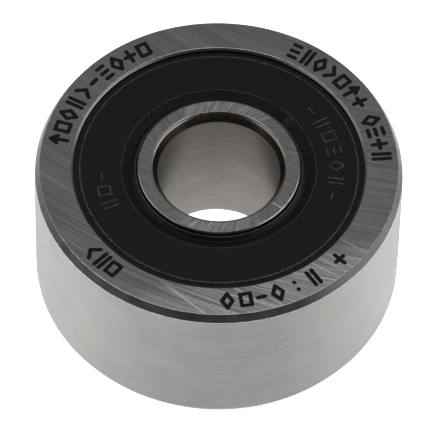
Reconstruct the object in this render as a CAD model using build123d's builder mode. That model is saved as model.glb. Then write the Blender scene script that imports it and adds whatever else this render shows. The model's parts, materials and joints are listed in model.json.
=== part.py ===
"""Yoke-type cam follower: a double-row angular-contact ball bearing with a thick outer ring.

The axis of rotation is Z and the origin is the middle of the bore. The inner ring is clamped on a
fixed stud. The outer ring rolls on the cam, and carries a lip seal at each end. Between the rings
run two rows of balls, each in its own snap cage, with their contact lines in an O arrangement.
All sizes are in millimetres. In a section, x is the radius and y the height above mid-width.
"""
import os
from math import asin, cos, degrees, pi, radians, sin, sqrt, tan

from build123d import *

# Envelope
BORE_D = 8.0
OUTSIDE_D = 24.0
WIDTH = 11.0
TREAD_LENGTH = 6.0
END_RELIEF_RADIUS = 80.0
OUTER_CHAMFER_DEPTH = 0.57
OUTER_CHAMFER_WIDTH = 0.30
BORE_LEAD_DEPTH = 0.60
BORE_LEAD_ANGLE = 30.0
BORE_EDGE_R = 0.25
EDGE_BREAK = 0.06

# Ball complement
BALL_D = 3.175
BALLS_PER_ROW = 9
PITCH_D = 15.0
ROW_OFFSET = 1.81
CONTACT_ANGLE = 30.0
GROOVE_CONFORMITY = 0.52
BALL_CLEARANCE = 0.01

# Shoulders beside the raceways
OUTER_RIB_D = 16.9
OUTER_END_BORE_D = 17.9
INNER_SHOULDER_D = 13.2
INNER_WAIST_D = 12.4
SHOULDER_CHAMFER = 0.10

# Seal seat in the outer ring, seal land on the inner ring
RECESS_D = 19.0
RECESS_CHAMFER = 0.12
SNAP_GROOVE_D = 19.5
SNAP_GROOVE_TOP = 4.95
SEAT_HEIGHT = 4.30
LAND_D = 10.6
LAND_FLOOR = 4.35

# Seal
SEAL_FACE_DEPTH = 0.20
SEAL_FIT = 0.01
FACE_LAYER = 0.30
STIFFENER_SHEET = 0.26
STIFFENER_BORE_D = 12.4
STIFFENER_D = 18.1
STIFFENER_FLANGE_END = 4.44
FLANGE_BEND = 0.24
RIM_STEP_D = 18.26
RIM_DEPTH = 0.30
FACE_EDGE_ROUND = 0.06
FLEX_OUTER_D = 12.62
FLEX_VALLEY_D = 11.50
FLEX_VALLEY_DEPTH = 0.41
LIP_CREST_D = 10.90
LIP_CREST_DEPTH = 0.22
LIP_CREST_WIDTH = 0.16
LIP_CREST_RISE = 0.045
LIP_EDGE = 0.08
LIP_BACK = 0.10
LIP_GAP = 0.025
ROOT_LAYER = 0.10
ROOT_WRAP = 0.40
ROOT_SLOPE = 0.12
BEAD_CHAMFER = 0.06

# Snap cage
CAGE_BORE_D = 13.7
CAGE_D = 16.9
CAGE_RIM = 4.05
CAGE_TIP = 1.15
CAGE_CHAMFER = 0.15
POCKET_CLEARANCE = 0.06
TROUGH_WIDTH = 0.80
TROUGH_FLOOR = 2.55

half_width = WIDTH / 2
outside_r = OUTSIDE_D / 2
bore_r = BORE_D / 2
pitch_r = PITCH_D / 2
ball_r = BALL_D / 2
groove_r = GROOVE_CONFORMITY * BALL_D
ball_pitch_angle = 360 / BALLS_PER_ROW

os.makedirs("parts", exist_ok=True)


def write(finished, name):
    """Labels a finished sub-part and writes it to its own STEP file."""
    finished.label = name
    export_step(finished, f"parts/{name}.step")


def groove_centre(outwards):
    """Centre of the upper raceway's section: +1 for the outer ring's raceway, -1 for the inner's.

    It lies on the contact line, on the far side of the ball's centre from the raceway.
    """
    offset = groove_r - ball_r - BALL_CLEARANCE
    angle = radians(CONTACT_ANGLE)
    return pitch_r - outwards * offset * cos(angle), ROW_OFFSET + outwards * offset * sin(angle)


def groove_height(centre, radius, side):
    """Height at which the raceway's circle crosses a radius, above (+1) or below (-1) its centre."""
    return centre[1] + side * sqrt(groove_r**2 - (radius - centre[0]) ** 2)


# Outer ring: cylindrical tread eased off towards its ends, seal seats, and a rib between raceways
outer_groove = groove_centre(+1)
rib_r = OUTER_RIB_D / 2
end_bore_r = OUTER_END_BORE_D / 2
recess_r = RECESS_D / 2
snap_groove_r = SNAP_GROOVE_D / 2
tread_edge = TREAD_LENGTH / 2
tread_end = half_width - OUTER_CHAMFER_DEPTH
relief_length = tread_end - tread_edge
tread_end_r = outside_r - (END_RELIEF_RADIUS - sqrt(END_RELIEF_RADIUS**2 - relief_length**2))
outer_groove_low = groove_height(outer_groove, rib_r, -1)
outer_groove_high = groove_height(outer_groove, end_bore_r, +1)

with BuildPart() as outer_ring:
    with BuildSketch(Plane.XZ) as outer_section:
        with BuildLine() as outer_outline:
            TangentArc((outside_r, tread_edge), (tread_end_r, tread_end), tangent=(0, 1))
            Polyline(
                (tread_end_r, tread_end),
                (tread_end_r - OUTER_CHAMFER_WIDTH, half_width),
                (recess_r + RECESS_CHAMFER, half_width),
                (recess_r, half_width - RECESS_CHAMFER),
                (recess_r, SNAP_GROOVE_TOP),
                (snap_groove_r, SNAP_GROOVE_TOP - (snap_groove_r - recess_r)),
                (snap_groove_r, SEAT_HEIGHT),
                (end_bore_r, SEAT_HEIGHT),
                (end_bore_r, outer_groove_high),
            )
            ThreePointArc(
                (end_bore_r, outer_groove_high),
                (outer_groove[0] + groove_r, outer_groove[1]),
                (rib_r, outer_groove_low),
            )
            mirror(about=Plane.XZ)
            Line((rib_r, outer_groove_low), (rib_r, -outer_groove_low))
            Line((outside_r, tread_edge), (outside_r, -tread_edge))
        make_face()
    revolve(axis=Axis.Z)
write(outer_ring.part, "outer_ring")

# Inner ring: bore, seal lands at both ends, and a shoulder outside each raceway
inner_groove = groove_centre(-1)
shoulder_r = INNER_SHOULDER_D / 2
waist_r = INNER_WAIST_D / 2
land_r = LAND_D / 2
bore_wall_end = half_width - BORE_LEAD_DEPTH
lead_slope = radians(BORE_LEAD_ANGLE)
mouth_r = bore_r + BORE_LEAD_DEPTH * tan(lead_slope)
edge_run = BORE_EDGE_R * tan((pi / 2 - lead_slope) / 2)
mouth_flat = (mouth_r + edge_run, half_width)
mouth_lead = (mouth_r - edge_run * sin(lead_slope), half_width - edge_run * cos(lead_slope))
inner_groove_high = groove_height(inner_groove, shoulder_r, +1)
inner_groove_low = groove_height(inner_groove, waist_r, -1)

with BuildPart() as inner_ring:
    with BuildSketch(Plane.XZ) as inner_section:
        with BuildLine() as inner_outline:
            Line((bore_r, bore_wall_end), mouth_lead)
            RadiusArc(mouth_lead, mouth_flat, BORE_EDGE_R)
            Polyline(
                mouth_flat,
                (land_r - EDGE_BREAK, half_width),
                (land_r, half_width - EDGE_BREAK),
                (land_r, LAND_FLOOR),
                (shoulder_r - SHOULDER_CHAMFER, LAND_FLOOR),
                (shoulder_r, LAND_FLOOR - SHOULDER_CHAMFER),
                (shoulder_r, inner_groove_high),
            )
            ThreePointArc(
                (shoulder_r, inner_groove_high),
                (inner_groove[0] - groove_r, inner_groove[1]),
                (waist_r, inner_groove_low),
            )
            mirror(about=Plane.XZ)
            Line((waist_r, inner_groove_low), (waist_r, -inner_groove_low))
            Line((bore_r, bore_wall_end), (bore_r, -bore_wall_end))
        make_face()
    revolve(axis=Axis.Z)
write(inner_ring.part, "inner_ring")

# Each end of the bearing: section plane with y pointing out of that end, sign of its height,
# and the angle of its first ball. The rows are half a ball pitch apart.
ENDS = (
    ("upper", Plane.XZ, +1, 0.0),
    ("lower", -Plane.XZ, -1, ball_pitch_angle / 2),
)

# Seal, as a pressed steel stiffener with rubber moulded round its rim, over its face and past its bore
seal_face = half_width - SEAL_FACE_DEPTH
sheet_top = seal_face - FACE_LAYER
sheet_bottom = sheet_top - STIFFENER_SHEET
stiffener_r = STIFFENER_D / 2
stiffener_bore_r = STIFFENER_BORE_D / 2
flange_inner_r = stiffener_r - STIFFENER_SHEET
rim_r = recess_r - SEAL_FIT
bead_r = snap_groove_r - SEAL_FIT
bead_bottom = SEAT_HEIGHT + SEAL_FIT
bead_top = SNAP_GROOVE_TOP - SEAL_FIT - (bead_r - rim_r)
rim_height = half_width - RIM_DEPTH
rim_step_r = RIM_STEP_D / 2
flex_outer_r = FLEX_OUTER_D / 2
valley_r = FLEX_VALLEY_D / 2
valley_height = half_width - FLEX_VALLEY_DEPTH
crest_r = LIP_CREST_D / 2
crest_height = half_width - LIP_CREST_DEPTH
crest_foot = crest_height - LIP_CREST_RISE
lip_r = land_r + LIP_GAP
root_wrap_r = stiffener_bore_r + ROOT_WRAP
root_bottom = sheet_bottom - ROOT_LAYER

for end, section_plane, sign, first_ball in ENDS:
    with BuildPart() as stiffener:
        with BuildSketch(section_plane) as stiffener_section:
            with BuildLine() as stiffener_outline:
                Polyline(
                    (stiffener_r, sheet_top - FLANGE_BEND),
                    (stiffener_r, STIFFENER_FLANGE_END),
                    (flange_inner_r, STIFFENER_FLANGE_END),
                    (flange_inner_r, sheet_bottom),
                    (stiffener_bore_r, sheet_bottom),
                    (stiffener_bore_r, sheet_top),
                    (stiffener_r - FLANGE_BEND, sheet_top),
                )
                RadiusArc(
                    (stiffener_r - FLANGE_BEND, sheet_top),
                    (stiffener_r, sheet_top - FLANGE_BEND),
                    FLANGE_BEND,
                )
            make_face()
        revolve(axis=Axis.Z)
    write(stiffener.part, f"{end}_seal_stiffener")

    with BuildPart() as rubber:
        with BuildSketch(section_plane) as rubber_section:
            with BuildLine() as rubber_outline:
                # Over the face: bead, rim step, flat disc, flex groove, lip and its underside
                Polyline(
                    (bead_r - BEAD_CHAMFER, bead_bottom),
                    (bead_r, bead_bottom + BEAD_CHAMFER),
                    (bead_r, bead_top),
                    (rim_r, SNAP_GROOVE_TOP - SEAL_FIT),
                    (rim_r, rim_height),
                    (rim_step_r, rim_height),
                    (rim_step_r, seal_face - FACE_EDGE_ROUND),
                )
                RadiusArc(
                    (rim_step_r, seal_face - FACE_EDGE_ROUND),
                    (rim_step_r - FACE_EDGE_ROUND, seal_face),
                    -FACE_EDGE_ROUND,
                )
                Line((rim_step_r - FACE_EDGE_ROUND, seal_face), (flex_outer_r, seal_face))
                Line((flex_outer_r, seal_face), (valley_r, valley_height))
                Line((valley_r, valley_height), (crest_r + LIP_CREST_WIDTH / 2, crest_foot))
                ThreePointArc(
                    (crest_r + LIP_CREST_WIDTH / 2, crest_foot),
                    (crest_r, crest_height),
                    (crest_r - LIP_CREST_WIDTH / 2, crest_foot),
                )
                Polyline(
                    (crest_r - LIP_CREST_WIDTH / 2, crest_foot),
                    (lip_r, valley_height),
                    (lip_r, valley_height - LIP_EDGE),
                    (lip_r + LIP_BACK, root_bottom + ROOT_SLOPE),
                    (valley_r, root_bottom),
                    (root_wrap_r, root_bottom),
                    (root_wrap_r, sheet_bottom),
                    (stiffener_bore_r, sheet_bottom),
                    (stiffener_bore_r, sheet_top),
                    (stiffener_r - FLANGE_BEND, sheet_top),
                )
                # Round the stiffener's flange, back to the bead
                RadiusArc(
                    (stiffener_r - FLANGE_BEND, sheet_top),
                    (stiffener_r, sheet_top - FLANGE_BEND),
                    FLANGE_BEND,
                )
                Polyline(
                    (stiffener_r, sheet_top - FLANGE_BEND),
                    (stiffener_r, STIFFENER_FLANGE_END),
                    (flange_inner_r, STIFFENER_FLANGE_END),
                    (flange_inner_r, bead_bottom),
                    (bead_r - BEAD_CHAMFER, bead_bottom),
                )
            make_face()
        revolve(axis=Axis.Z)
    write(rubber.part, f"{end}_seal_rubber")

# Snap cage: a rim outside the balls, with horns that reach past their middles and hold them
cage_bore_r = CAGE_BORE_D / 2
cage_r = CAGE_D / 2
pocket_r = ball_r + POCKET_CLEARANCE
trough_length = 2 * (cage_r - cage_bore_r)
trough_height = TROUGH_FLOOR - TROUGH_WIDTH / 2

for end, section_plane, sign, first_ball in ENDS:
    with BuildPart() as cage:
        with BuildSketch(section_plane) as cage_section:
            with Locations(((cage_bore_r + cage_r) / 2, (CAGE_RIM + CAGE_TIP) / 2)):
                Rectangle(cage_r - cage_bore_r, CAGE_RIM - CAGE_TIP)
            chamfer(cage_section.vertices(), length=CAGE_CHAMFER)
        revolve(axis=Axis.Z)
        with Locations((0, 0, sign * ROW_OFFSET)):
            with PolarLocations(pitch_r, BALLS_PER_ROW, start_angle=first_ball):
                Sphere(pocket_r, mode=Mode.SUBTRACT)
        with PolarLocations(pitch_r, BALLS_PER_ROW, start_angle=first_ball + ball_pitch_angle / 2):
            with Locations((0, 0, sign * trough_height / 2)):
                Box(trough_length, TROUGH_WIDTH, trough_height, mode=Mode.SUBTRACT)
            with Locations((0, 0, sign * trough_height)):
                Cylinder(TROUGH_WIDTH / 2, trough_length, rotation=(0, 90, 0), mode=Mode.SUBTRACT)
    write(cage.part, f"{end}_cage")

# Balls
for end, section_plane, sign, first_ball in ENDS:
    for number in range(BALLS_PER_ROW):
        angle = radians(first_ball + number * ball_pitch_angle)
        with BuildPart() as ball:
            with Locations((pitch_r * cos(angle), pitch_r * sin(angle), sign * ROW_OFFSET)):
                Sphere(ball_r)
        write(ball.part, f"{end}_ball_{number + 1}")

# Figures that show the proportions are those of a bearing that can be put together and turned
filling_angle = 2 * (BALLS_PER_ROW - 1) * degrees(asin(BALL_D / PITCH_D))
gap_between_balls = PITCH_D * sin(pi / BALLS_PER_ROW) - BALL_D
gamma = BALL_D * cos(radians(CONTACT_ANGLE)) / PITCH_D
print("filling angle", round(filling_angle, 1), "gap between balls", round(gap_between_balls, 3))
print("cage turns per turn of the outer ring", round((1 + gamma) / 2, 6))
print("ball spin per turn of the outer ring", round(PITCH_D * (1 - gamma**2) / (2 * BALL_D), 6))
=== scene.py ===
"""Looks for the cam follower: finely divided rings and seals, their steel and rubber, and a white studio.

Lengths in Blender are in metres. The sizes below are in millimetres, and MM turns them into metres.
A section outline is a list of (radius, height, zone): the zone names the surface from that point to
the next one, and so its material.
"""
import json
import math

import bmesh
import bpy
from mathutils import Matrix, Vector


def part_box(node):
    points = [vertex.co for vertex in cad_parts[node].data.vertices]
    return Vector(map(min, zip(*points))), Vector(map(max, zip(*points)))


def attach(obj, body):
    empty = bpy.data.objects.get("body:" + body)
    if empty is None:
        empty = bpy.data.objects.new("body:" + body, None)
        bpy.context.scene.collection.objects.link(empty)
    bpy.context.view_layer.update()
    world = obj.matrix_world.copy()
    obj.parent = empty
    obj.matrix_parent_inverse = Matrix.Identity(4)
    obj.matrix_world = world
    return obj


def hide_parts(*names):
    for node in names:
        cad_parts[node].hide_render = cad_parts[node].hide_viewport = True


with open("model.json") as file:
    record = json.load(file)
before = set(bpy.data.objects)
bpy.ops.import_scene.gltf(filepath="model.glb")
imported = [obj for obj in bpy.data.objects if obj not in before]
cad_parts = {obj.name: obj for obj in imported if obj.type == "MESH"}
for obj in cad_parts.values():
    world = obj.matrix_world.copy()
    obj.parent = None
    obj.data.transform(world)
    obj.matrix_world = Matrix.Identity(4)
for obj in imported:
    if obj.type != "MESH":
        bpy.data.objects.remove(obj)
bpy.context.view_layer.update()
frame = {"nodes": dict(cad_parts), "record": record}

MM = 0.001

# Sizes read from the frame, in millimetres
MOUNTS = {mount["name"]: mount for mount in frame["record"]["mounts"]}
OUTSIDE_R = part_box("outer_ring")[1].x / MM
HALF_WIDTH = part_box("outer_ring")[1].z / MM
SHOULDER_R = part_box("inner_ring")[1].x / MM
BEAD_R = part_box("upper_seal_rubber")[1].x / MM
BEAD_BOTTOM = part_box("upper_seal_rubber")[0].z / MM
SEAL_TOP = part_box("upper_seal_rubber")[1].z / MM
STIFFENER_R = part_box("upper_seal_stiffener")[1].x / MM
SHEET_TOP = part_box("upper_seal_stiffener")[1].z / MM
FLANGE_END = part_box("upper_seal_stiffener")[0].z / MM
BORE_R = MOUNTS["bore"]["dims"]["r_mm"]
TREAD_EDGE = MOUNTS["tread"]["dims"]["length_mm"] / 2

# Sizes that the frame doesn't give, in millimetres. They agree with the CAD.
OUTER_CHAMFER_DEPTH = 0.57
OUTER_CHAMFER_WIDTH = 0.30
BORE_LEAD_DEPTH = 0.60
BORE_LEAD_ANGLE = math.radians(30)
BORE_EDGE_R = 0.25
EDGE_BREAK = 0.06
END_RELIEF_RADIUS = 80.0
BALL_D = 3.175
BALL_R = BALL_D / 2
GROOVE_CONFORMITY = 0.52
GROOVE_R = GROOVE_CONFORMITY * BALL_D
PITCH_R = 7.5
ROW_OFFSET = 1.81
CONTACT_ANGLE = math.radians(30)
BALL_CLEARANCE = 0.01
RIB_R = 8.45
END_BORE_R = 8.95
WAIST_R = 6.20
SHOULDER_CHAMFER = 0.10
RECESS_R = 9.50
RECESS_CHAMFER = 0.12
SNAP_GROOVE_R = 9.75
SNAP_GROOVE_TOP = 4.95
SEAT_HEIGHT = 4.30
LAND_R = 5.30
LAND_FLOOR = 4.35
SEAL_FIT = 0.01
SHEET = 0.26
STIFFENER_BORE_R = 6.20
FLANGE_BEND = 0.24
RIM_STEP_R = 9.13
RIM_HEIGHT = 5.20
FACE_EDGE_ROUND = 0.06
FLEX_OUTER_R = 6.31
VALLEY_R = 5.75
VALLEY_HEIGHT = 5.09
CREST_R = 5.45
CREST_HEIGHT = 5.28
LIP_EDGE = 0.08
LIP_BACK = 0.10
LIP_GAP = 0.025
ROOT_LAYER = 0.10
ROOT_WRAP = 0.40
ROOT_SLOPE = 0.12
BEAD_CHAMFER = 0.06

# Fineness of the visible meshes, in millimetres: small bevels, and points that keep flat sides flat
SEGMENTS = 720
MICRO_BEVEL = 0.025
SUPPORT = 0.03
SHARP_ANGLE = math.radians(28)

# Rounding of the seal's section, in millimetres and degrees
RIM_ROUND = 0.02
VALLEY_ROUND = 0.12
CREST_ROUND = 0.07
# Width of the paler band at the flex edge, which is a painted highlight
EDGE_HIGHLIGHT_WIDTH = 0.05
FLEX_EDGE_SHIFT = 0.01
FLEX_TURN = 20.5
LIP_TURN = 55
CREST_END = 145

# Etched and moulded marks, in millimetres
ETCH_DEPTH = 0.03
ETCH_STROKE = 0.285
ETCH_INNER_R = 10.08
ETCH_HEIGHT = 1.10
ETCH_WIDTH = 0.85
MOULD_HEIGHT = 0.025
MOULD_STROKE = 0.11
MOULD_INNER_R = 7.15
MOULD_TALL = 1.0
MOULD_WIDTH = 0.9
MOULD_ROOT = 0.1
CUTTER_RISE = 1.0
STROKE_STEP = 0.03
FAR_AWAY = 100


# ---------------------------------------------------------------- Section outlines

def arc(centre, radius, start, end, steps, zone):
    """Points from angle start to angle end, in degrees, round a centre in the section."""
    points = []
    for i in range(steps + 1):
        angle = math.radians(start + (end - start) * i / steps)
        points.append((centre[0] + radius * math.cos(angle), centre[1] + radius * math.sin(angle), zone))
    return points


def groove_centre(outwards):
    """Centre of the upper raceway's section: +1 in the outer ring, -1 in the inner ring."""
    offset = GROOVE_R - BALL_R - BALL_CLEARANCE
    return (PITCH_R - outwards * offset * math.cos(CONTACT_ANGLE),
            ROW_OFFSET + outwards * offset * math.sin(CONTACT_ANGLE))


def groove(outwards, top_r, bottom_r, zone, steps=20):
    """The upper raceway from its crossing with top_r, down to its crossing with bottom_r."""
    centre = groove_centre(outwards)
    start = math.degrees(math.acos((top_r - centre[0]) / GROOVE_R))
    end = -math.degrees(math.acos((bottom_r - centre[0]) / GROOVE_R))
    if outwards < 0:
        end = 360 + end
    return arc(centre, GROOVE_R, start, end, steps, zone)


def end_relief(steps=8):
    """The tread from its cylinder's edge to its chamfer, eased off along an arc of large radius."""
    end_z = HALF_WIDTH - OUTER_CHAMFER_DEPTH
    points = []
    for i in range(steps):
        z = TREAD_EDGE + (end_z - TREAD_EDGE) * i / steps
        points.append((relief_radius(z), z, "tread"))
    return points


def relief_radius(z):
    """Radius of the tread at a height beyond its cylinder's edge."""
    return OUTSIDE_R - END_RELIEF_RADIUS + math.sqrt(END_RELIEF_RADIUS**2 - (z - TREAD_EDGE) ** 2)


def outer_ring_outline():
    """Upper half of the outer ring's section, from the tread at mid-width round to the rib."""
    tread_end = HALF_WIDTH - OUTER_CHAMFER_DEPTH
    tread_end_r = relief_radius(tread_end)
    face_r = tread_end_r - OUTER_CHAMFER_WIDTH
    recess_face_r = RECESS_R + RECESS_CHAMFER
    groove_slope = SNAP_GROOVE_R - RECESS_R
    half = [(OUTSIDE_R, 0.0, "tread")]
    half += end_relief()
    half += [
        (tread_end_r, tread_end - MICRO_BEVEL, "edge"),
        (tread_end_r - MICRO_BEVEL / 2, tread_end + MICRO_BEVEL / 2, "chamfer"),
        (face_r + MICRO_BEVEL / 2, HALF_WIDTH - MICRO_BEVEL / 2, "rim"),
        (face_r - MICRO_BEVEL, HALF_WIDTH, "face"),
        (recess_face_r + MICRO_BEVEL, HALF_WIDTH, "edge"),
        (recess_face_r - MICRO_BEVEL / 2, HALF_WIDTH - MICRO_BEVEL / 2, "recess"),
        (RECESS_R, HALF_WIDTH - RECESS_CHAMFER, "recess"),
        (RECESS_R, SNAP_GROOVE_TOP, "recess"),
        (SNAP_GROOVE_R, SNAP_GROOVE_TOP - groove_slope, "recess"),
        (SNAP_GROOVE_R, SEAT_HEIGHT, "recess"),
        (END_BORE_R, SEAT_HEIGHT, "recess"),
    ]
    half += groove(+1, END_BORE_R, RIB_R, "raceway")
    half += [(RIB_R, 0.0, "recess")]
    return half


def inner_ring_outline():
    """Upper half of the inner ring's section, from the bore at mid-width round to the waist."""
    mouth_r = BORE_R + BORE_LEAD_DEPTH * math.tan(BORE_LEAD_ANGLE)
    face_start_r = mouth_r + BORE_EDGE_R * math.tan((math.pi / 2 - BORE_LEAD_ANGLE) / 2)
    edge_centre = (face_start_r, HALF_WIDTH - BORE_EDGE_R)
    edge_start = 180 - math.degrees(BORE_LEAD_ANGLE)
    half = [(BORE_R, 0.0, "bore"), (BORE_R, HALF_WIDTH - BORE_LEAD_DEPTH, "bore_corner")]
    half += arc(edge_centre, BORE_EDGE_R, edge_start, 90, 10, "bore_corner")[:-1]
    half += [
        (face_start_r, HALF_WIDTH, "face"),
        (LAND_R - EDGE_BREAK, HALF_WIDTH, "edge"),
        (LAND_R, HALF_WIDTH - EDGE_BREAK, "recess"),
        (LAND_R, LAND_FLOOR, "recess"),
        (SHOULDER_R - SHOULDER_CHAMFER, LAND_FLOOR, "recess"),
        (SHOULDER_R, LAND_FLOOR - SHOULDER_CHAMFER, "recess"),
    ]
    half += groove(-1, SHOULDER_R, WAIST_R, "raceway")
    half += [(WAIST_R, 0.0, "recess")]
    return half


def seal_outline():
    """Whole section of the upper seal's rubber, round its stiffener."""
    rim_r = RECESS_R - SEAL_FIT
    bead_top = SNAP_GROOVE_TOP - SEAL_FIT - (BEAD_R - rim_r)
    sheet_bottom = SHEET_TOP - SHEET
    flange_inner_r = STIFFENER_R - SHEET
    root_bottom = sheet_bottom - ROOT_LAYER
    root_wrap_r = STIFFENER_BORE_R + ROOT_WRAP
    lip_r = LAND_R + LIP_GAP
    top = SEAL_TOP
    face_edge = (RIM_STEP_R - FACE_EDGE_ROUND, top - FACE_EDGE_ROUND)
    flex_edge = (FLEX_OUTER_R + FLEX_EDGE_SHIFT, top - FACE_EDGE_ROUND)
    bend = (STIFFENER_R - FLANGE_BEND, SHEET_TOP - FLANGE_BEND)
    # The paler edge zone is a painted highlight: the thin light lines along the seal's edges, all round
    rubber, edge = "rubber", "painted_edge_highlight"
    outline = [
        (BEAD_R - BEAD_CHAMFER, BEAD_BOTTOM, rubber),
        (BEAD_R, BEAD_BOTTOM + BEAD_CHAMFER, rubber),
        (BEAD_R, bead_top, rubber),
        (rim_r, SNAP_GROOVE_TOP - SEAL_FIT, rubber),
    ]
    outline += arc((rim_r - RIM_ROUND, RIM_HEIGHT - RIM_ROUND), RIM_ROUND, 0, 90, 4, rubber)
    outline += arc((RIM_STEP_R + RIM_ROUND, RIM_HEIGHT + RIM_ROUND), RIM_ROUND, 270, 180, 4, rubber)
    outline += arc(face_edge, FACE_EDGE_ROUND, 0, 90, 6, edge)
    outline += [(RIM_STEP_R - 2 * FACE_EDGE_ROUND, top, rubber), (FLEX_OUTER_R + EDGE_HIGHLIGHT_WIDTH, top, edge)]
    outline += arc(flex_edge, FACE_EDGE_ROUND, 90, 90 + FLEX_TURN, 3, rubber)
    outline += arc((VALLEY_R, VALLEY_HEIGHT + VALLEY_ROUND), VALLEY_ROUND,
                   270 + FLEX_TURN, 180 + LIP_TURN, 6, rubber)
    outline += arc((CREST_R, CREST_HEIGHT - CREST_ROUND), CREST_ROUND, LIP_TURN, CREST_END, 6, edge)
    outline += [
        (lip_r, VALLEY_HEIGHT, rubber),
        (lip_r, VALLEY_HEIGHT - LIP_EDGE, rubber),
        (lip_r + LIP_BACK, root_bottom + ROOT_SLOPE, rubber),
        (VALLEY_R, root_bottom, rubber),
        (root_wrap_r, root_bottom, rubber),
        (root_wrap_r, sheet_bottom, rubber),
        (STIFFENER_BORE_R, sheet_bottom, rubber),
        (STIFFENER_BORE_R, SHEET_TOP, rubber),
    ]
    outline += arc(bend, FLANGE_BEND, 90, 0, 6, rubber)
    outline += [
        (STIFFENER_R, FLANGE_END, rubber),
        (flange_inner_r, FLANGE_END, rubber),
        (flange_inner_r, BEAD_BOTTOM, rubber),
    ]
    return outline


def both_halves(half):
    """Closes an upper half section, which starts and ends at mid-width, with its mirror image."""
    lower = []
    for i in range(len(half) - 1, 0, -1):
        r, z, _ = half[i]
        lower.append((r, -z, half[i - 1][2]))
    return half[:-1] + lower


def with_supports(outline):
    """Adds a point close to each end of every long straight side, to keep its shading flat."""
    points = []
    for i, (r, z, zone) in enumerate(outline):
        next_r, next_z, _ = outline[(i + 1) % len(outline)]
        length = math.hypot(next_r - r, next_z - z)
        points.append((r, z, zone))
        if length > 4 * SUPPORT:
            for share in (SUPPORT / length, 1 - SUPPORT / length):
                points.append((r + (next_r - r) * share, z + (next_z - z) * share, zone))
    return points


# ---------------------------------------------------------------- Meshes

def finish_shading(mesh):
    """Smooth shading with sharp edges where the surface turns."""
    mesh.shade_smooth()
    mesh.set_sharp_from_angle(angle=SHARP_ANGLE)


def revolve(name, outline, materials, body, node):
    """A closed ring turned from a section outline. It rides on a body and stands for a CAD node."""
    points = with_supports(outline)
    zones = list(materials)
    bm = bmesh.new()
    rings = []
    for i in range(SEGMENTS):
        angle = 2 * math.pi * i / SEGMENTS
        across, up = math.cos(angle) * MM, math.sin(angle) * MM
        rings.append([bm.verts.new((r * across, r * up, z * MM)) for r, z, _ in points])
    for i, ring in enumerate(rings):
        following = rings[(i + 1) % SEGMENTS]
        for j, (_, _, zone) in enumerate(points):
            k = (j + 1) % len(points)
            face = bm.faces.new((ring[j], following[j], following[k], ring[k]))
            face.material_index = zones.index(zone)
    bmesh.ops.recalc_face_normals(bm, faces=bm.faces[:])
    mesh = bpy.data.meshes.new(name)
    bm.to_mesh(mesh)
    bm.free()
    for zone in zones:
        mesh.materials.append(materials[zone])
    finish_shading(mesh)
    piece = linked(name, mesh)
    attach(piece, body)
    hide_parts(node)
    return piece


def capsule(bm, start, end, stroke, low, high, steps=8):
    """A closed upright prism with round ends, along a line in plan. It goes into bm."""
    run = Vector(end) - Vector(start)
    heading = math.atan2(run.y, run.x)
    rim = []
    radius = stroke / 2
    for centre, turn in ((end, -math.pi / 2), (start, math.pi / 2)):
        for i in range(steps + 1):
            angle = heading + turn + math.pi * i / steps
            rim.append((centre[0] + radius * math.cos(angle), centre[1] + radius * math.sin(angle)))
    bottom = [bm.verts.new((x * MM, y * MM, low * MM)) for x, y in rim]
    top = [bm.verts.new((x * MM, y * MM, high * MM)) for x, y in rim]
    bm.faces.new(reversed(bottom))
    bm.faces.new(top)
    for i in range(len(rim)):
        k = (i + 1) % len(rim)
        bm.faces.new((bottom[i], bottom[k], top[k], top[i]))


# Abstract marks, as strokes in a cell whose width and height are 1. None is meant as a letter or digit.
TIP, FOOT, LEFT, RIGHT = (0.0, 1.0), (0.0, 0.0), (-0.4, 0.5), (0.4, 0.5)
DIAMOND = [(FOOT, RIGHT), (RIGHT, TIP), (TIP, LEFT), (LEFT, FOOT)]
CROSS = [(LEFT, RIGHT), ((0.0, 0.1), (0.0, 0.9))]
DASH = [((-0.28, 0.5), (0.28, 0.5))]
DOTS = [((0.0, 0.22), (0.0, 0.24)), ((0.0, 0.76), (0.0, 0.78))]
LADDER = [((-0.3, v), (0.3, v)) for v in (0.06, 0.5, 0.94)]
PAIR = [((u, 0.0), (u, 1.0)) for u in (-0.22, 0.22)]
CHEVRON = [((-0.25, 0.05), (0.25, 0.5)), ((0.25, 0.5), (-0.25, 0.95))]
ARROW = [(FOOT, TIP), (TIP, (-0.35, 0.6)), (TIP, (0.35, 0.6))]
CORNERS = ((-0.38, 0.1), (0.38, 0.1), (0.38, 0.9), (-0.38, 0.9))
SQUARE = [(CORNERS[i - 1], CORNERS[i]) for i in range(4)]

# Groups of marks round the upper face: angle of the first and last mark, in degrees, and the marks
ETCHED_GROUPS = (
    (170, 119, (ARROW, SQUARE, DIAMOND, PAIR, CHEVRON, DASH, LADDER, DIAMOND, CROSS, SQUARE)),
    (63, 31, (LADDER, PAIR, DIAMOND, CHEVRON, SQUARE, ARROW, CROSS)),
    (22, 6, (DIAMOND, LADDER, CROSS, PAIR)),
    (231.4, 221.3, (SQUARE, PAIR, CHEVRON)),
    (318, 318, (CROSS,)),
    (306, 292, (PAIR, DOTS, DIAMOND)),
    (286, 286, (DASH,)),
    (280.5, 274, (SQUARE, DIAMOND)),
)
MOULDED_GROUPS = (
    (39, -15, (DASH, PAIR, SQUARE, LADDER, DIAMOND, PAIR, DASH)),
    (204, 187, (PAIR, SQUARE, DASH)),
)


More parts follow.
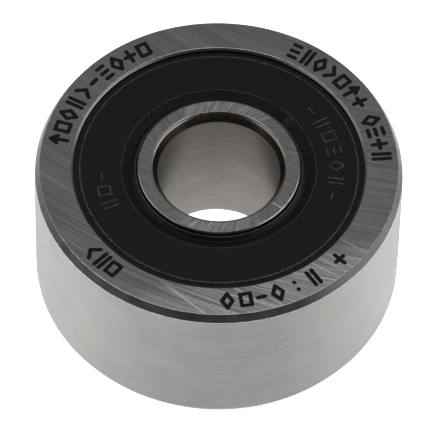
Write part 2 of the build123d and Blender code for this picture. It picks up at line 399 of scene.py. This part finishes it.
def marks_mesh(name, groups, inner_r, width, height, stroke, low, high):
    """All the marks of some groups, as upright prisms from low to high. They stand up outwards.

    Each stroke of a mark is a little narrower than the last, so that no two round ends coincide.
    """
    bm = bmesh.new()
    for first, last, marks in groups:
        for i, mark in enumerate(marks):
            share = i / (len(marks) - 1) if len(marks) > 1 else 0.0
            angle = math.radians(first + (last - first) * share)
            outwards = Vector((math.cos(angle), math.sin(angle)))
            clockwise = Vector((outwards.y, -outwards.x))
            for k, line in enumerate(mark):
                ends = [outwards * (inner_r + v * height) + clockwise * u * width for u, v in line]
                capsule(bm, ends[0], ends[1], stroke * (1 - STROKE_STEP * k), low, high)
    mesh = bpy.data.meshes.new(name)
    bm.to_mesh(mesh)
    bm.free()
    return mesh


def linked(name, mesh):
    """A new object for a mesh, in the scene."""
    piece = bpy.data.objects.new(name, mesh)
    bpy.context.scene.collection.objects.link(piece)
    return piece


def boolean(piece, other, operation, merge_own_overlaps=False):
    """Replaces a piece's mesh with the exact boolean of it and another."""
    modifier = piece.modifiers.new("boolean", "BOOLEAN")
    modifier.object = other
    modifier.operation = operation
    modifier.solver = "EXACT"
    modifier.use_self = merge_own_overlaps
    modifier.material_mode = "TRANSFER"
    graph = bpy.context.evaluated_depsgraph_get()
    result = bpy.data.meshes.new_from_object(piece.evaluated_get(graph))
    piece.modifiers.clear()
    piece.data = result


def combine(piece, mesh, material, operation):
    """Cuts the marks into a piece, or adds them to it.

    Strokes that cross are first made one solid, by a cut with a block that is far away from them.
    """
    mesh.materials.append(material)
    tool = linked(mesh.name, mesh)
    bm = bmesh.new()
    capsule(bm, (FAR_AWAY, 0), (FAR_AWAY + 1, 0), 1.0, 0.0, 1.0)
    far_mesh = bpy.data.meshes.new("far_away")
    bm.to_mesh(far_mesh)
    bm.free()
    far = linked("far_away", far_mesh)
    boolean(tool, far, "DIFFERENCE", merge_own_overlaps=True)
    boolean(piece, tool, operation)
    bpy.data.objects.remove(tool)
    bpy.data.objects.remove(far)
    finish_shading(piece.data)


# ---------------------------------------------------------------- Material tools

class Nodes:
    """A material's node tree, with a short call for each kind of node."""

    def __init__(self, name):
        self.material = bpy.data.materials.new(name)
        self.material.use_nodes = True
        self.tree = self.material.node_tree
        self.shader = self.tree.nodes["Principled BSDF"]

    def add(self, kind, **settings):
        """A new node of a kind, with its settings."""
        node = self.tree.nodes.new(kind)
        for key, value in settings.items():
            setattr(node, key, value)
        return node

    def feed(self, socket, value):
        """Links a socket to another, or sets it to a constant."""
        if isinstance(value, bpy.types.NodeSocket):
            self.tree.links.new(value, socket)
        else:
            socket.default_value = value

    def math(self, operation, *values):
        node = self.add("ShaderNodeMath", operation=operation)
        for socket, value in zip(node.inputs, values):
            self.feed(socket, value)
        return node.outputs[0]

    def vector(self, operation, *values):
        node = self.add("ShaderNodeVectorMath", operation=operation)
        for socket, value in zip(node.inputs, values):
            self.feed(socket, value)
        return node.outputs["Value" if operation in ("LENGTH", "DOT_PRODUCT", "DISTANCE") else "Vector"]

    def scaled(self, vector, factor):
        node = self.add("ShaderNodeVectorMath", operation="SCALE")
        self.feed(node.inputs[0], vector)
        self.feed(node.inputs["Scale"], factor)
        return node.outputs["Vector"]

    def noise(self, vector, scale=1.0, detail=2.0, roughness=0.5):
        node = self.add("ShaderNodeTexNoise")
        self.feed(node.inputs["Vector"], vector)
        self.feed(node.inputs["Scale"], scale)
        self.feed(node.inputs["Detail"], detail)
        self.feed(node.inputs["Roughness"], roughness)
        return node.outputs["Fac"]

    def ramp(self, value, low, high, to_low=0.0, to_high=1.0):
        """Takes a value from low..high to to_low..to_high, and holds it at the ends."""
        node = self.add("ShaderNodeMapRange")
        for socket, given in zip(node.inputs, (value, low, high, to_low, to_high)):
            self.feed(socket, given)
        return node.outputs["Result"]

    def mix(self, factor, one, other):
        node = self.add("ShaderNodeMix", data_type="RGBA")
        self.feed(node.inputs["Factor"], factor)
        self.feed(node.inputs["A"], one)
        self.feed(node.inputs["B"], other)
        return next(socket for socket in node.outputs if socket.name == "Result" and socket.type == "RGBA")

    def bump(self, height, depth_mm, normal=None):
        node = self.add("ShaderNodeBump")
        node.inputs["Strength"].default_value = 1.0
        node.inputs["Distance"].default_value = depth_mm * MM
        self.feed(node.inputs["Height"], height)
        if normal is not None:
            self.feed(node.inputs["Normal"], normal)
        return node.outputs["Normal"]

    def place(self):
        """The point in the piece's own frame, in millimetres, so that texture moves with the piece."""
        coordinates = self.add("ShaderNodeTexCoord")
        return self.scaled(coordinates.outputs["Object"], 1 / MM)

    def axes(self, point):
        """A point's three coordinates."""
        node = self.add("ShaderNodeSeparateXYZ")
        self.feed(node.inputs[0], point)
        return node.outputs

    def join(self, x, y, z):
        node = self.add("ShaderNodeCombineXYZ")
        for socket, value in zip(node.inputs, (x, y, z)):
            self.feed(socket, value)
        return node.outputs[0]

    def round_axis(self, point):
        """Distance from the axis, and the unit vector away from it."""
        flat = self.vector("MULTIPLY", point, (1, 1, 0))
        return self.vector("LENGTH", flat), self.vector("NORMALIZE", flat)

    def turned(self, point, along, across):
        """Lay of a turned or plunge-ground surface: lines that run round the axis."""
        radius, away = self.round_axis(point)
        _, _, z = self.axes(point)
        step = self.math("MULTIPLY_ADD", radius, 0.4, z)
        ax, ay, _ = self.axes(self.scaled(away, along))
        return self.join(ax, ay, self.math("MULTIPLY", step, across))

    def arced(self, point, centre, along, across):
        """Lay of a surface ground by a wide wheel: lines that run along arcs round a far centre."""
        return self.turned(self.vector("SUBTRACT", point, centre), along, across)

    def swirled(self, point, slant, across, along):
        """Lay of a face-ground surface: lines that cross the ring at a slant to its radius."""
        radius, away = self.round_axis(point)
        turn = self.math("MULTIPLY", self.math("LOGARITHM", radius, math.e), math.tan(math.radians(slant)))
        node = self.add("ShaderNodeVectorRotate", rotation_type="Z_AXIS")
        self.feed(node.inputs["Vector"], away)
        self.feed(node.inputs["Angle"], turn)
        ax, ay, _ = self.axes(self.scaled(node.outputs[0], across))
        return self.join(ax, ay, self.math("MULTIPLY", radius, along))

    def finish(self, color, roughness, normal=None, metallic=1.0):
        """Feeds the shader and gives the finished material."""
        self.feed(self.shader.inputs["Base Color"], color)
        self.feed(self.shader.inputs["Roughness"], roughness)
        self.shader.inputs["Metallic"].default_value = metallic
        if normal is not None:
            self.feed(self.shader.inputs["Normal"], normal)
        return self.material

    def brush(self, amount):
        """Stretches highlights across lines that run round the axis."""
        tangent = self.add("ShaderNodeTangent", direction_type="RADIAL", axis="Z")
        self.shader.inputs["Anisotropic"].default_value = amount
        self.shader.inputs["Anisotropic Rotation"].default_value = 0.25
        self.feed(self.shader.inputs["Tangent"], tangent.outputs[0])


# ---------------------------------------------------------------- Materials

# One straight gouge across the inner ring's face, towards its front right
GOUGE_ANGLE = math.radians(322)
GOUGE_HEADING = (math.cos(GOUGE_ANGLE), math.sin(GOUGE_ANGLE), 0)
GOUGE_NORMAL = (-GOUGE_HEADING[1], GOUGE_HEADING[0], 0)

# Side of the outer ring's face with the deeper scratches
DEEP_ANGLE = math.radians(287)
DEEP_SIDE = (math.cos(DEEP_ANGLE), math.sin(DEEP_ANGLE), 0)

# Side of the outer ring's chamfer that is painted lighter, as a painted highlight
CHAMFER_HIGHLIGHT_ANGLE = math.radians(326)
CHAMFER_HIGHLIGHT_SIDE = (math.cos(CHAMFER_HIGHLIGHT_ANGLE), math.sin(CHAMFER_HIGHLIGHT_ANGLE), 0)


def outer_face():
    """Face ground by a wide wheel: scratches along large arcs that cross, deeper on one side."""
    m = Nodes("ground_face")
    p = m.place()
    main = m.noise(m.arced(p, (17, 36, 0), 4, 17), detail=2.0, roughness=0.6)
    crossing = m.noise(m.arced(p, (-40, 24, 0), 4, 16), detail=2.0, roughness=0.6)
    patches = m.ramp(m.noise(p, 0.35, detail=1.0), 0.4, 0.7, 0.06, 0.20)
    heavy = m.math("ADD", patches, m.ramp(m.vector("DOT_PRODUCT", p, DEEP_SIDE), 7.6, 9.9, 0.0, 1.1))
    height = m.math("MULTIPLY", m.math("MULTIPLY_ADD", crossing, 0.7, main), heavy)
    long_scores = m.ramp(m.noise(m.arced(p, (14, 33, 0), 3, 16), detail=2.0), 0.60, 0.68)
    cross_scores = m.ramp(m.noise(m.arced(p, (30, 30, 0), 4, 12), detail=1.0), 0.66, 0.72)
    stray = m.ramp(m.noise(m.arced(p, (-52, 9, 0), 5, 9), detail=1.0), 0.71, 0.74)
    scores = m.math("MULTIPLY", m.math("MAXIMUM", long_scores, cross_scores), heavy)
    scores = m.math("MAXIMUM", scores, m.math("MULTIPLY", stray, 0.5))
    return scratched_steel(m, main, heavy, height, scores)


def inner_face():
    """Face ground in a swirl: short scratches that cross the ring nearly along its radius."""
    m = Nodes("ground_inner_face")
    p = m.place()
    main = m.noise(m.swirled(p, 28, 34, 0.9), detail=2.0, roughness=0.6)
    crossing = m.noise(m.swirled(p, -20, 30, 0.8), detail=2.0, roughness=0.6)
    _, away = m.round_axis(p)
    _, y, _ = m.axes(away)
    heavy = m.ramp(m.math("ABSOLUTE", y), 0.75, 1.0, 0.12, 0.95)
    height = m.math("MULTIPLY", m.math("MULTIPLY_ADD", crossing, 0.5, main), heavy)
    off_line = m.math("ABSOLUTE", m.vector("DOT_PRODUCT", p, GOUGE_NORMAL))
    ahead = m.vector("DOT_PRODUCT", away, GOUGE_HEADING)
    gouge = m.math("MULTIPLY", m.ramp(off_line, 0.025, 0.05, 1.0, 0.0), m.math("GREATER_THAN", ahead, 0.0))
    scores = m.ramp(m.noise(m.swirled(p, 30, 30, 0.5), detail=1.0), 0.66, 0.72)
    scores = m.math("MAXIMUM", m.math("MULTIPLY", scores, heavy), gouge)
    return scratched_steel(m, main, heavy, height, scores)


def scratched_steel(m, streaks, heavy, height, scores):
    """Ground steel with faint streaks, stronger where heavy, and bright scores where scores is 1."""
    contrast = m.ramp(heavy, 0.0, 1.0, 0.2, 0.7)
    streak = m.math("MULTIPLY_ADD", m.ramp(streaks, 0.3, 0.7, -1.0, 1.0), contrast, 0.5)
    color = m.mix(streak, (0.34, 0.34, 0.345, 1), (0.66, 0.66, 0.665, 1))
    color = m.mix(scores, color, (0.92, 0.92, 0.92, 1))
    rough = m.math("ADD", m.ramp(streaks, 0.3, 0.7, 0.17, 0.22), m.math("MULTIPLY", heavy, 0.14))
    rough = m.math("MULTIPLY_ADD", scores, 0.2, rough)
    return m.finish(color, rough, m.bump(height, 0.013))


def ground_round(name, depth, lay, dark, light, speck_level, rough, stretch):
    """Steel ground round its axis: fine lines along the circumference, and a few specks."""
    m = Nodes(name)
    p = m.place()
    lines = m.noise(m.turned(p, *lay), detail=3.0, roughness=0.7)
    cloud = m.noise(p, 0.5, detail=2.0)
    specks = m.ramp(m.noise(p, 1.7, detail=1.0), speck_level, speck_level + 0.04)
    color = m.mix(m.ramp(lines, 0.3, 0.7), dark, light)
    color = m.mix(m.math("MULTIPLY", specks, 0.5), color, (0.20, 0.19, 0.19, 1))
    m.brush(stretch)
    return m.finish(color, m.ramp(cloud, 0.3, 0.7, rough - 0.02, rough + 0.02), m.bump(lines, depth))


def dark_chamfer():
    """Turned chamfer that the grinding missed, nearly black from hardening, with a painted highlight on one
    side.
    """
    m = Nodes("dark_chamfer")
    p = m.place()
    lines = m.noise(m.turned(p, 2.0, 30.0), detail=2.0)
    stain = m.noise(p, 0.8, detail=3.0)
    _, away = m.round_axis(p)
    # Painted highlight: the chamfer is lighter on its front-right side
    painted_highlight = m.ramp(m.vector("DOT_PRODUCT", away, CHAMFER_HIGHLIGHT_SIDE), 0.88, 0.98)
    color = m.mix(m.ramp(stain, 0.35, 0.7), (0.030, 0.029, 0.028, 1), (0.055, 0.054, 0.053, 1))
    color = m.mix(painted_highlight, color, (0.11, 0.109, 0.107, 1))
    return m.finish(color, m.ramp(lines, 0.3, 0.7, 0.24, 0.32), m.bump(lines, 0.003), metallic=0.97)


def bore_corner():
    """Lead-in of the bore, brown from hardening. The face's grinding has cleaned its rim and ticked it; the
    rim's width and fade round the ring are painted light.
    """
    m = Nodes("bore_corner")
    p = m.place()
    _, away = m.round_axis(p)
    _, _, z = m.axes(p)
    lines = m.noise(m.turned(p, 2.0, 30.0), detail=2.0)
    stain = m.noise(p, 0.9, detail=3.0)
    _, y, _ = m.axes(away)
    height = m.math("ABSOLUTE", z)
    ticks = m.ramp(m.noise(m.scaled(away, 55.0), detail=1.0), 0.45, 0.60, 0.0, 0.6)
    ticks = m.math("MULTIPLY", ticks, m.ramp(y, 0.80, 0.95))
    ticks = m.math("MULTIPLY", ticks, m.ramp(height, HALF_WIDTH - 0.40, HALF_WIDTH - 0.05))
    # Painted highlight: the cleaned rim reaches further down across the back half, where the side softboxes
    # reflect in it
    sheen_reach = m.math("ADD", height, m.ramp(y, 0.0, 0.5, 0.08, 0.17))
    # Painted shade: the cleaned rim fades at the very back, where it would reflect the overhead softbox
    rim = m.math("MULTIPLY", m.ramp(sheen_reach, HALF_WIDTH, HALF_WIDTH + 0.03), m.ramp(y, 0.86, 0.96, 1.0, 0.15))
    cleaned_and_sheen = m.math("MAXIMUM", ticks, rim)
    brown = m.mix(m.ramp(stain, 0.35, 0.7), (0.10, 0.077, 0.059, 1), (0.17, 0.127, 0.094, 1))
    color = m.mix(cleaned_and_sheen, brown, (0.46, 0.455, 0.45, 1))
    return m.finish(color, m.ramp(lines, 0.3, 0.7, 0.24, 0.32), m.bump(lines, 0.003), metallic=0.95)


def bright_turned():
    """Turned steel of the seal recess and its chamfer."""
    m = Nodes("bright_turned")
    p = m.place()
    lines = m.noise(m.turned(p, 3.0, 22.0), detail=2.0)
    color = m.mix(m.ramp(lines, 0.3, 0.7), (0.26, 0.255, 0.25, 1), (0.42, 0.415, 0.41, 1))
    return m.finish(color, 0.30, m.bump(lines, 0.003))


def worn_edge(name, dull, bright, roughness):
    """Narrow edge between two machined surfaces, nicked and bright where it is worn."""
    m = Nodes(name)
    nicks = m.noise(m.place(), 3.0, detail=3.0)
    color = m.mix(m.ramp(nicks, 0.35, 0.65), (dull, dull, dull, 1), (bright, bright, bright, 1))
    return m.finish(color, roughness)


def honed():
    """Raceways, honed to a near mirror."""
    m = Nodes("honed_raceway")
    lines = m.noise(m.turned(m.place(), 4.0, 40.0), detail=2.0)
    return m.finish((0.66, 0.66, 0.67, 1), m.ramp(lines, 0.3, 0.7, 0.10, 0.16), m.bump(lines, 0.0008))


def etch():
    """Floor and walls of the etched marks: dark, dull oxide."""
    m = Nodes("etched_oxide")
    grain = m.noise(m.place(), 9.0, detail=3.0)
    color = m.mix(m.ramp(grain, 0.3, 0.7), (0.006, 0.005, 0.004, 1), (0.016, 0.013, 0.011, 1))
    return m.finish(color, 0.8, m.bump(grain, 0.01), metallic=0.0)


def seal_rubber():
    """Moulded black nitrile with a faint bloom, rings from its mould, and a few fine rub marks."""
    m = Nodes("seal_rubber")
    p = m.place()
    grain = m.noise(p, 14.0, detail=2.0)
    cloud = m.noise(p, 0.45, detail=3.0)
    rings = m.noise(m.turned(p, 1.5, 9.0), detail=2.0)
    rubs = m.ramp(m.noise(m.arced(p, (60, 30, 0), 8, 6), detail=2.0), 0.70, 0.75)
    color = m.mix(m.ramp(cloud, 0.3, 0.75), (0.0035, 0.0035, 0.0042, 1), (0.007, 0.007, 0.008, 1))
    color = m.mix(rubs, color, (0.04, 0.04, 0.041, 1))
    rough = m.ramp(rings, 0.3, 0.7, 0.42, 0.52)
    m.shader.inputs["Specular IOR Level"].default_value = 0.36
    return m.finish(color, rough, m.bump(grain, 0.0012), metallic=0.0)


def rubbed_marks_and_edge_highlight():
    """Paler grey rubber: on the moulded marks, where handling has rubbed the rubber, and on the seal's
    edges, where the paler grey is a painted highlight for the thin light lines they show.
    """
    m = Nodes("rubbed_marks_and_edge_highlight")
    wear = m.noise(m.place(), 4.0, detail=3.0)
    color = m.mix(m.ramp(wear, 0.35, 0.65), (0.035, 0.035, 0.036, 1), (0.14, 0.14, 0.143, 1))
    return m.finish(color, 0.38, m.bump(wear, 0.004), metallic=0.0)


def cage_polyamide():
    """Natural glass-filled polyamide, moulded."""
    m = Nodes("cage_polyamide")
    p = m.place()
    fibres = m.noise(m.turned(p, 12.0, 6.0), detail=3.0)
    color = m.mix(m.ramp(fibres, 0.3, 0.7), (0.50, 0.42, 0.28, 1), (0.62, 0.54, 0.39, 1))
    return m.finish(color, m.ramp(fibres, 0.3, 0.7, 0.38, 0.52), m.bump(fibres, 0.004), metallic=0.0)


def lapped_ball():
    """Ball steel, lapped to a mirror, with the faintest haze."""
    m = Nodes("lapped_ball")
    haze = m.noise(m.place(), 1.5, detail=2.0)
    return m.finish((0.72, 0.72, 0.73, 1), m.ramp(haze, 0.3, 0.7, 0.04, 0.08))


def rolled_sheet():
    """Cold-rolled sheet of the seal stiffeners: fine straight lines along the strip."""
    m = Nodes("rolled_sheet")
    lines = m.noise(m.vector("MULTIPLY", m.place(), (0.8, 18.0, 6.0)), detail=2.0)
    color = m.mix(m.ramp(lines, 0.3, 0.7), (0.42, 0.42, 0.41, 1), (0.54, 0.54, 0.53, 1))
    return m.finish(color, m.ramp(lines, 0.3, 0.7, 0.28, 0.42), m.bump(lines, 0.002))


# ---------------------------------------------------------------- The follower

def dress_hidden_nodes():
    """Gives the balls, cages and stiffeners, which stay as CAD nodes, their materials."""
    finishes = {"ball": lapped_ball(), "cage": cage_polyamide(), "stiffener": rolled_sheet()}
    for name, node in frame["nodes"].items():
        for word, material in finishes.items():
            if word in name:
                node.data.materials.clear()
                node.data.materials.append(material)


def make_rings():
    """Outer and inner ring, with the marks etched in the outer ring's upper face."""
    shared = {
        "edge": worn_edge("worn_edge", 0.33, 0.65, 0.28),
        "recess": bright_turned(),
        "raceway": honed(),
    }
    tread = ground_round("ground_tread", 0.0016, (1.6, 9.0), (0.37, 0.362, 0.350, 1),
                         (0.44, 0.432, 0.418, 1), speck_level=0.77, rough=0.45, stretch=0.85)
    # Painted shade: the bore gets a darker colour than the tread, though it is the same steel, to darken
    # the inside of the hole
    bore = ground_round("ground_bore_painted_shade", 0.003, (1.2, 9.0), (0.23, 0.217, 0.204, 1),
                        (0.32, 0.302, 0.285, 1), speck_level=0.80, rough=0.50, stretch=0.6)
    outer = revolve("outer_ring_finished", both_halves(outer_ring_outline()),
                    {"tread": tread, "chamfer": dark_chamfer(), "face": outer_face(),
                     "rim": worn_edge("worn_rim", 0.55, 0.95, 0.45), **shared},
                    "roller", "outer_ring")
    etching = marks_mesh("etched_marks", ETCHED_GROUPS, ETCH_INNER_R, ETCH_WIDTH, ETCH_HEIGHT,
                         ETCH_STROKE, HALF_WIDTH - ETCH_DEPTH, HALF_WIDTH + CUTTER_RISE)
    combine(outer, etching, etch(), "DIFFERENCE")
    revolve("inner_ring_finished", both_halves(inner_ring_outline()),
            {"bore": bore, "bore_corner": bore_corner(), "face": inner_face(), **shared},
            "inner_ring_body", "inner_ring")


def make_seals():
    """Both seals, with moulded marks on the upper one."""
    # The paler rubber gives the moulded marks their rubbed grey, and paints a highlight on the seal's edges
    pale_marks_and_edge_highlight = rubbed_marks_and_edge_highlight()
    materials = {"rubber": seal_rubber(), "painted_edge_highlight": pale_marks_and_edge_highlight}
    upper = seal_outline()
    lower = [(r, -z, zone) for r, z, zone in upper]
    upper_seal = revolve("upper_seal_moulded", upper, materials,
                         "roller", "upper_seal_rubber")
    moulding = marks_mesh("moulded_marks", MOULDED_GROUPS, MOULD_INNER_R, MOULD_WIDTH, MOULD_TALL,
                          MOULD_STROKE, SEAL_TOP - MOULD_ROOT, SEAL_TOP + MOULD_HEIGHT)
    combine(upper_seal, moulding, pale_marks_and_edge_highlight, "UNION")
    revolve("lower_seal_moulded", lower, materials, "roller", "lower_seal_rubber")


# ---------------------------------------------------------------- Studio

# Distances here are in metres, and the lens is in millimetres
CAMERA_DISTANCE = 0.3857
CAMERA_ELEVATION = math.radians(54.69)
CAMERA_ROLL = 0.0243
CAMERA_LENS = 475.5
AIM_RIGHT, AIM_UP = -0.000085, -0.000451
ROOM_FRONT, ROOM_BACK = 0.05, 0.16
FADE_START, FADE_END = -0.35, 0.45
FLOOR_RADIUS = 3.0
FLOOR_GAP = 0.00001
# Glow of the floor, a painted light: it shines though it is no lamp, more at the sides than in front
FLOOR_GLOW_FRONT, FLOOR_GLOW_SIDES = 0.90, 1.40
FLOOR_DIM_GLOW_SIDE = (0.174, -0.985, 0)


def make_camera():
    """Long lens, looking down on the follower from the front, with a slight roll."""
    back = Vector((0, -math.cos(CAMERA_ELEVATION), math.sin(CAMERA_ELEVATION)))
    level_right = Vector((1, 0, 0))
    level_up = back.cross(level_right)
    right = level_right * math.cos(CAMERA_ROLL) + level_up * math.sin(CAMERA_ROLL)
    up = back.cross(right)
    place = back * CAMERA_DISTANCE
    target = right * AIM_RIGHT + up * AIM_UP
    back = (place - target).normalized()
    right = up.cross(back).normalized()
    up = back.cross(right)
    camera = bpy.data.objects.new("camera", bpy.data.cameras.new("camera"))
    camera.data.lens = CAMERA_LENS
    camera.data.sensor_width = 36.0
    camera.data.clip_start = 0.01
    camera.data.clip_end = 10.0
    camera.matrix_world = Matrix.Translation(place) @ Matrix((right, up, back)).transposed().to_4x4()
    bpy.context.scene.collection.objects.link(camera)
    bpy.context.scene.camera = camera


def make_floor():
    """A wide white floor with hardly a shadow. It glows, as painted light, more at the sides than in front.
    """
    bm = bmesh.new()
    bmesh.ops.create_circle(bm, cap_ends=True, segments=96, radius=FLOOR_RADIUS)
    mesh = bpy.data.meshes.new("floor")
    bm.to_mesh(mesh)
    bm.free()
    m = Nodes("glowing_white_floor")
    _, away = m.round_axis(m.place())
    ahead = m.vector("DOT_PRODUCT", away, FLOOR_DIM_GLOW_SIDE)
    # Painted light: the floor glows, less towards the front than at the sides
    m.shader.inputs["Emission Color"].default_value = (1, 1, 1, 1)
    m.feed(m.shader.inputs["Emission Strength"], m.ramp(ahead, 0.4, 1.0, FLOOR_GLOW_SIDES, FLOOR_GLOW_FRONT))
    mesh.materials.append(m.finish((0.85, 0.85, 0.85, 1), 0.9, metallic=0.0))
    floor = linked("floor", mesh)
    floor.location.z = -HALF_WIDTH * MM - FLOOR_GAP


def softbox(name, place, target, width, height, watts):
    """A rectangular area light that faces a target."""
    light = bpy.data.lights.new(name, "AREA")
    light.shape = "RECTANGLE"
    light.size = width
    light.size_y = height
    light.energy = watts
    lamp = bpy.data.objects.new(name, light)
    lamp.location = place
    lamp.rotation_euler = (Vector(target) - Vector(place)).to_track_quat("-Z", "Y").to_euler()
    bpy.context.scene.collection.objects.link(lamp)


def make_world():
    """A dim room: dark behind the camera, and grey overhead and behind the follower."""
    world = bpy.data.worlds.new("studio")
    world.use_nodes = True
    tree = world.node_tree
    background = tree.nodes["Background"]
    direction = tree.nodes.new("ShaderNodeTexCoord")
    split = tree.nodes.new("ShaderNodeSeparateXYZ")
    fade = tree.nodes.new("ShaderNodeMapRange")
    fade.interpolation_type = "SMOOTHSTEP"
    for socket, value in zip(fade.inputs[1:5], (FADE_START, FADE_END, ROOM_FRONT, ROOM_BACK)):
        socket.default_value = value
    tree.links.new(direction.outputs["Generated"], split.inputs[0])
    tree.links.new(split.outputs["Y"], fade.inputs["Value"])
    tree.links.new(fade.outputs["Result"], background.inputs["Strength"])
    background.inputs["Color"].default_value = (0.97, 0.98, 1.0, 1)
    bpy.context.scene.world = world


def make_lights():
    """A softbox overhead, a large dim one at each side like a white wall, and the Standard view."""
    softbox("overhead", (0, 0.140, 0.50), (0, 0, 0), 0.30, 0.14, 0.22)
    softbox("left", (-0.55, -0.05, 0.26), (0, 0, 0), 0.70, 0.50, 0.55)
    softbox("right", (0.55, -0.05, 0.24), (0, 0, 0), 0.70, 0.50, 0.90)
    bpy.context.scene.view_settings.view_transform = "Standard"


make_camera()
make_floor()
make_world()
make_lights()
dress_hidden_nodes()
make_rings()
make_seals()
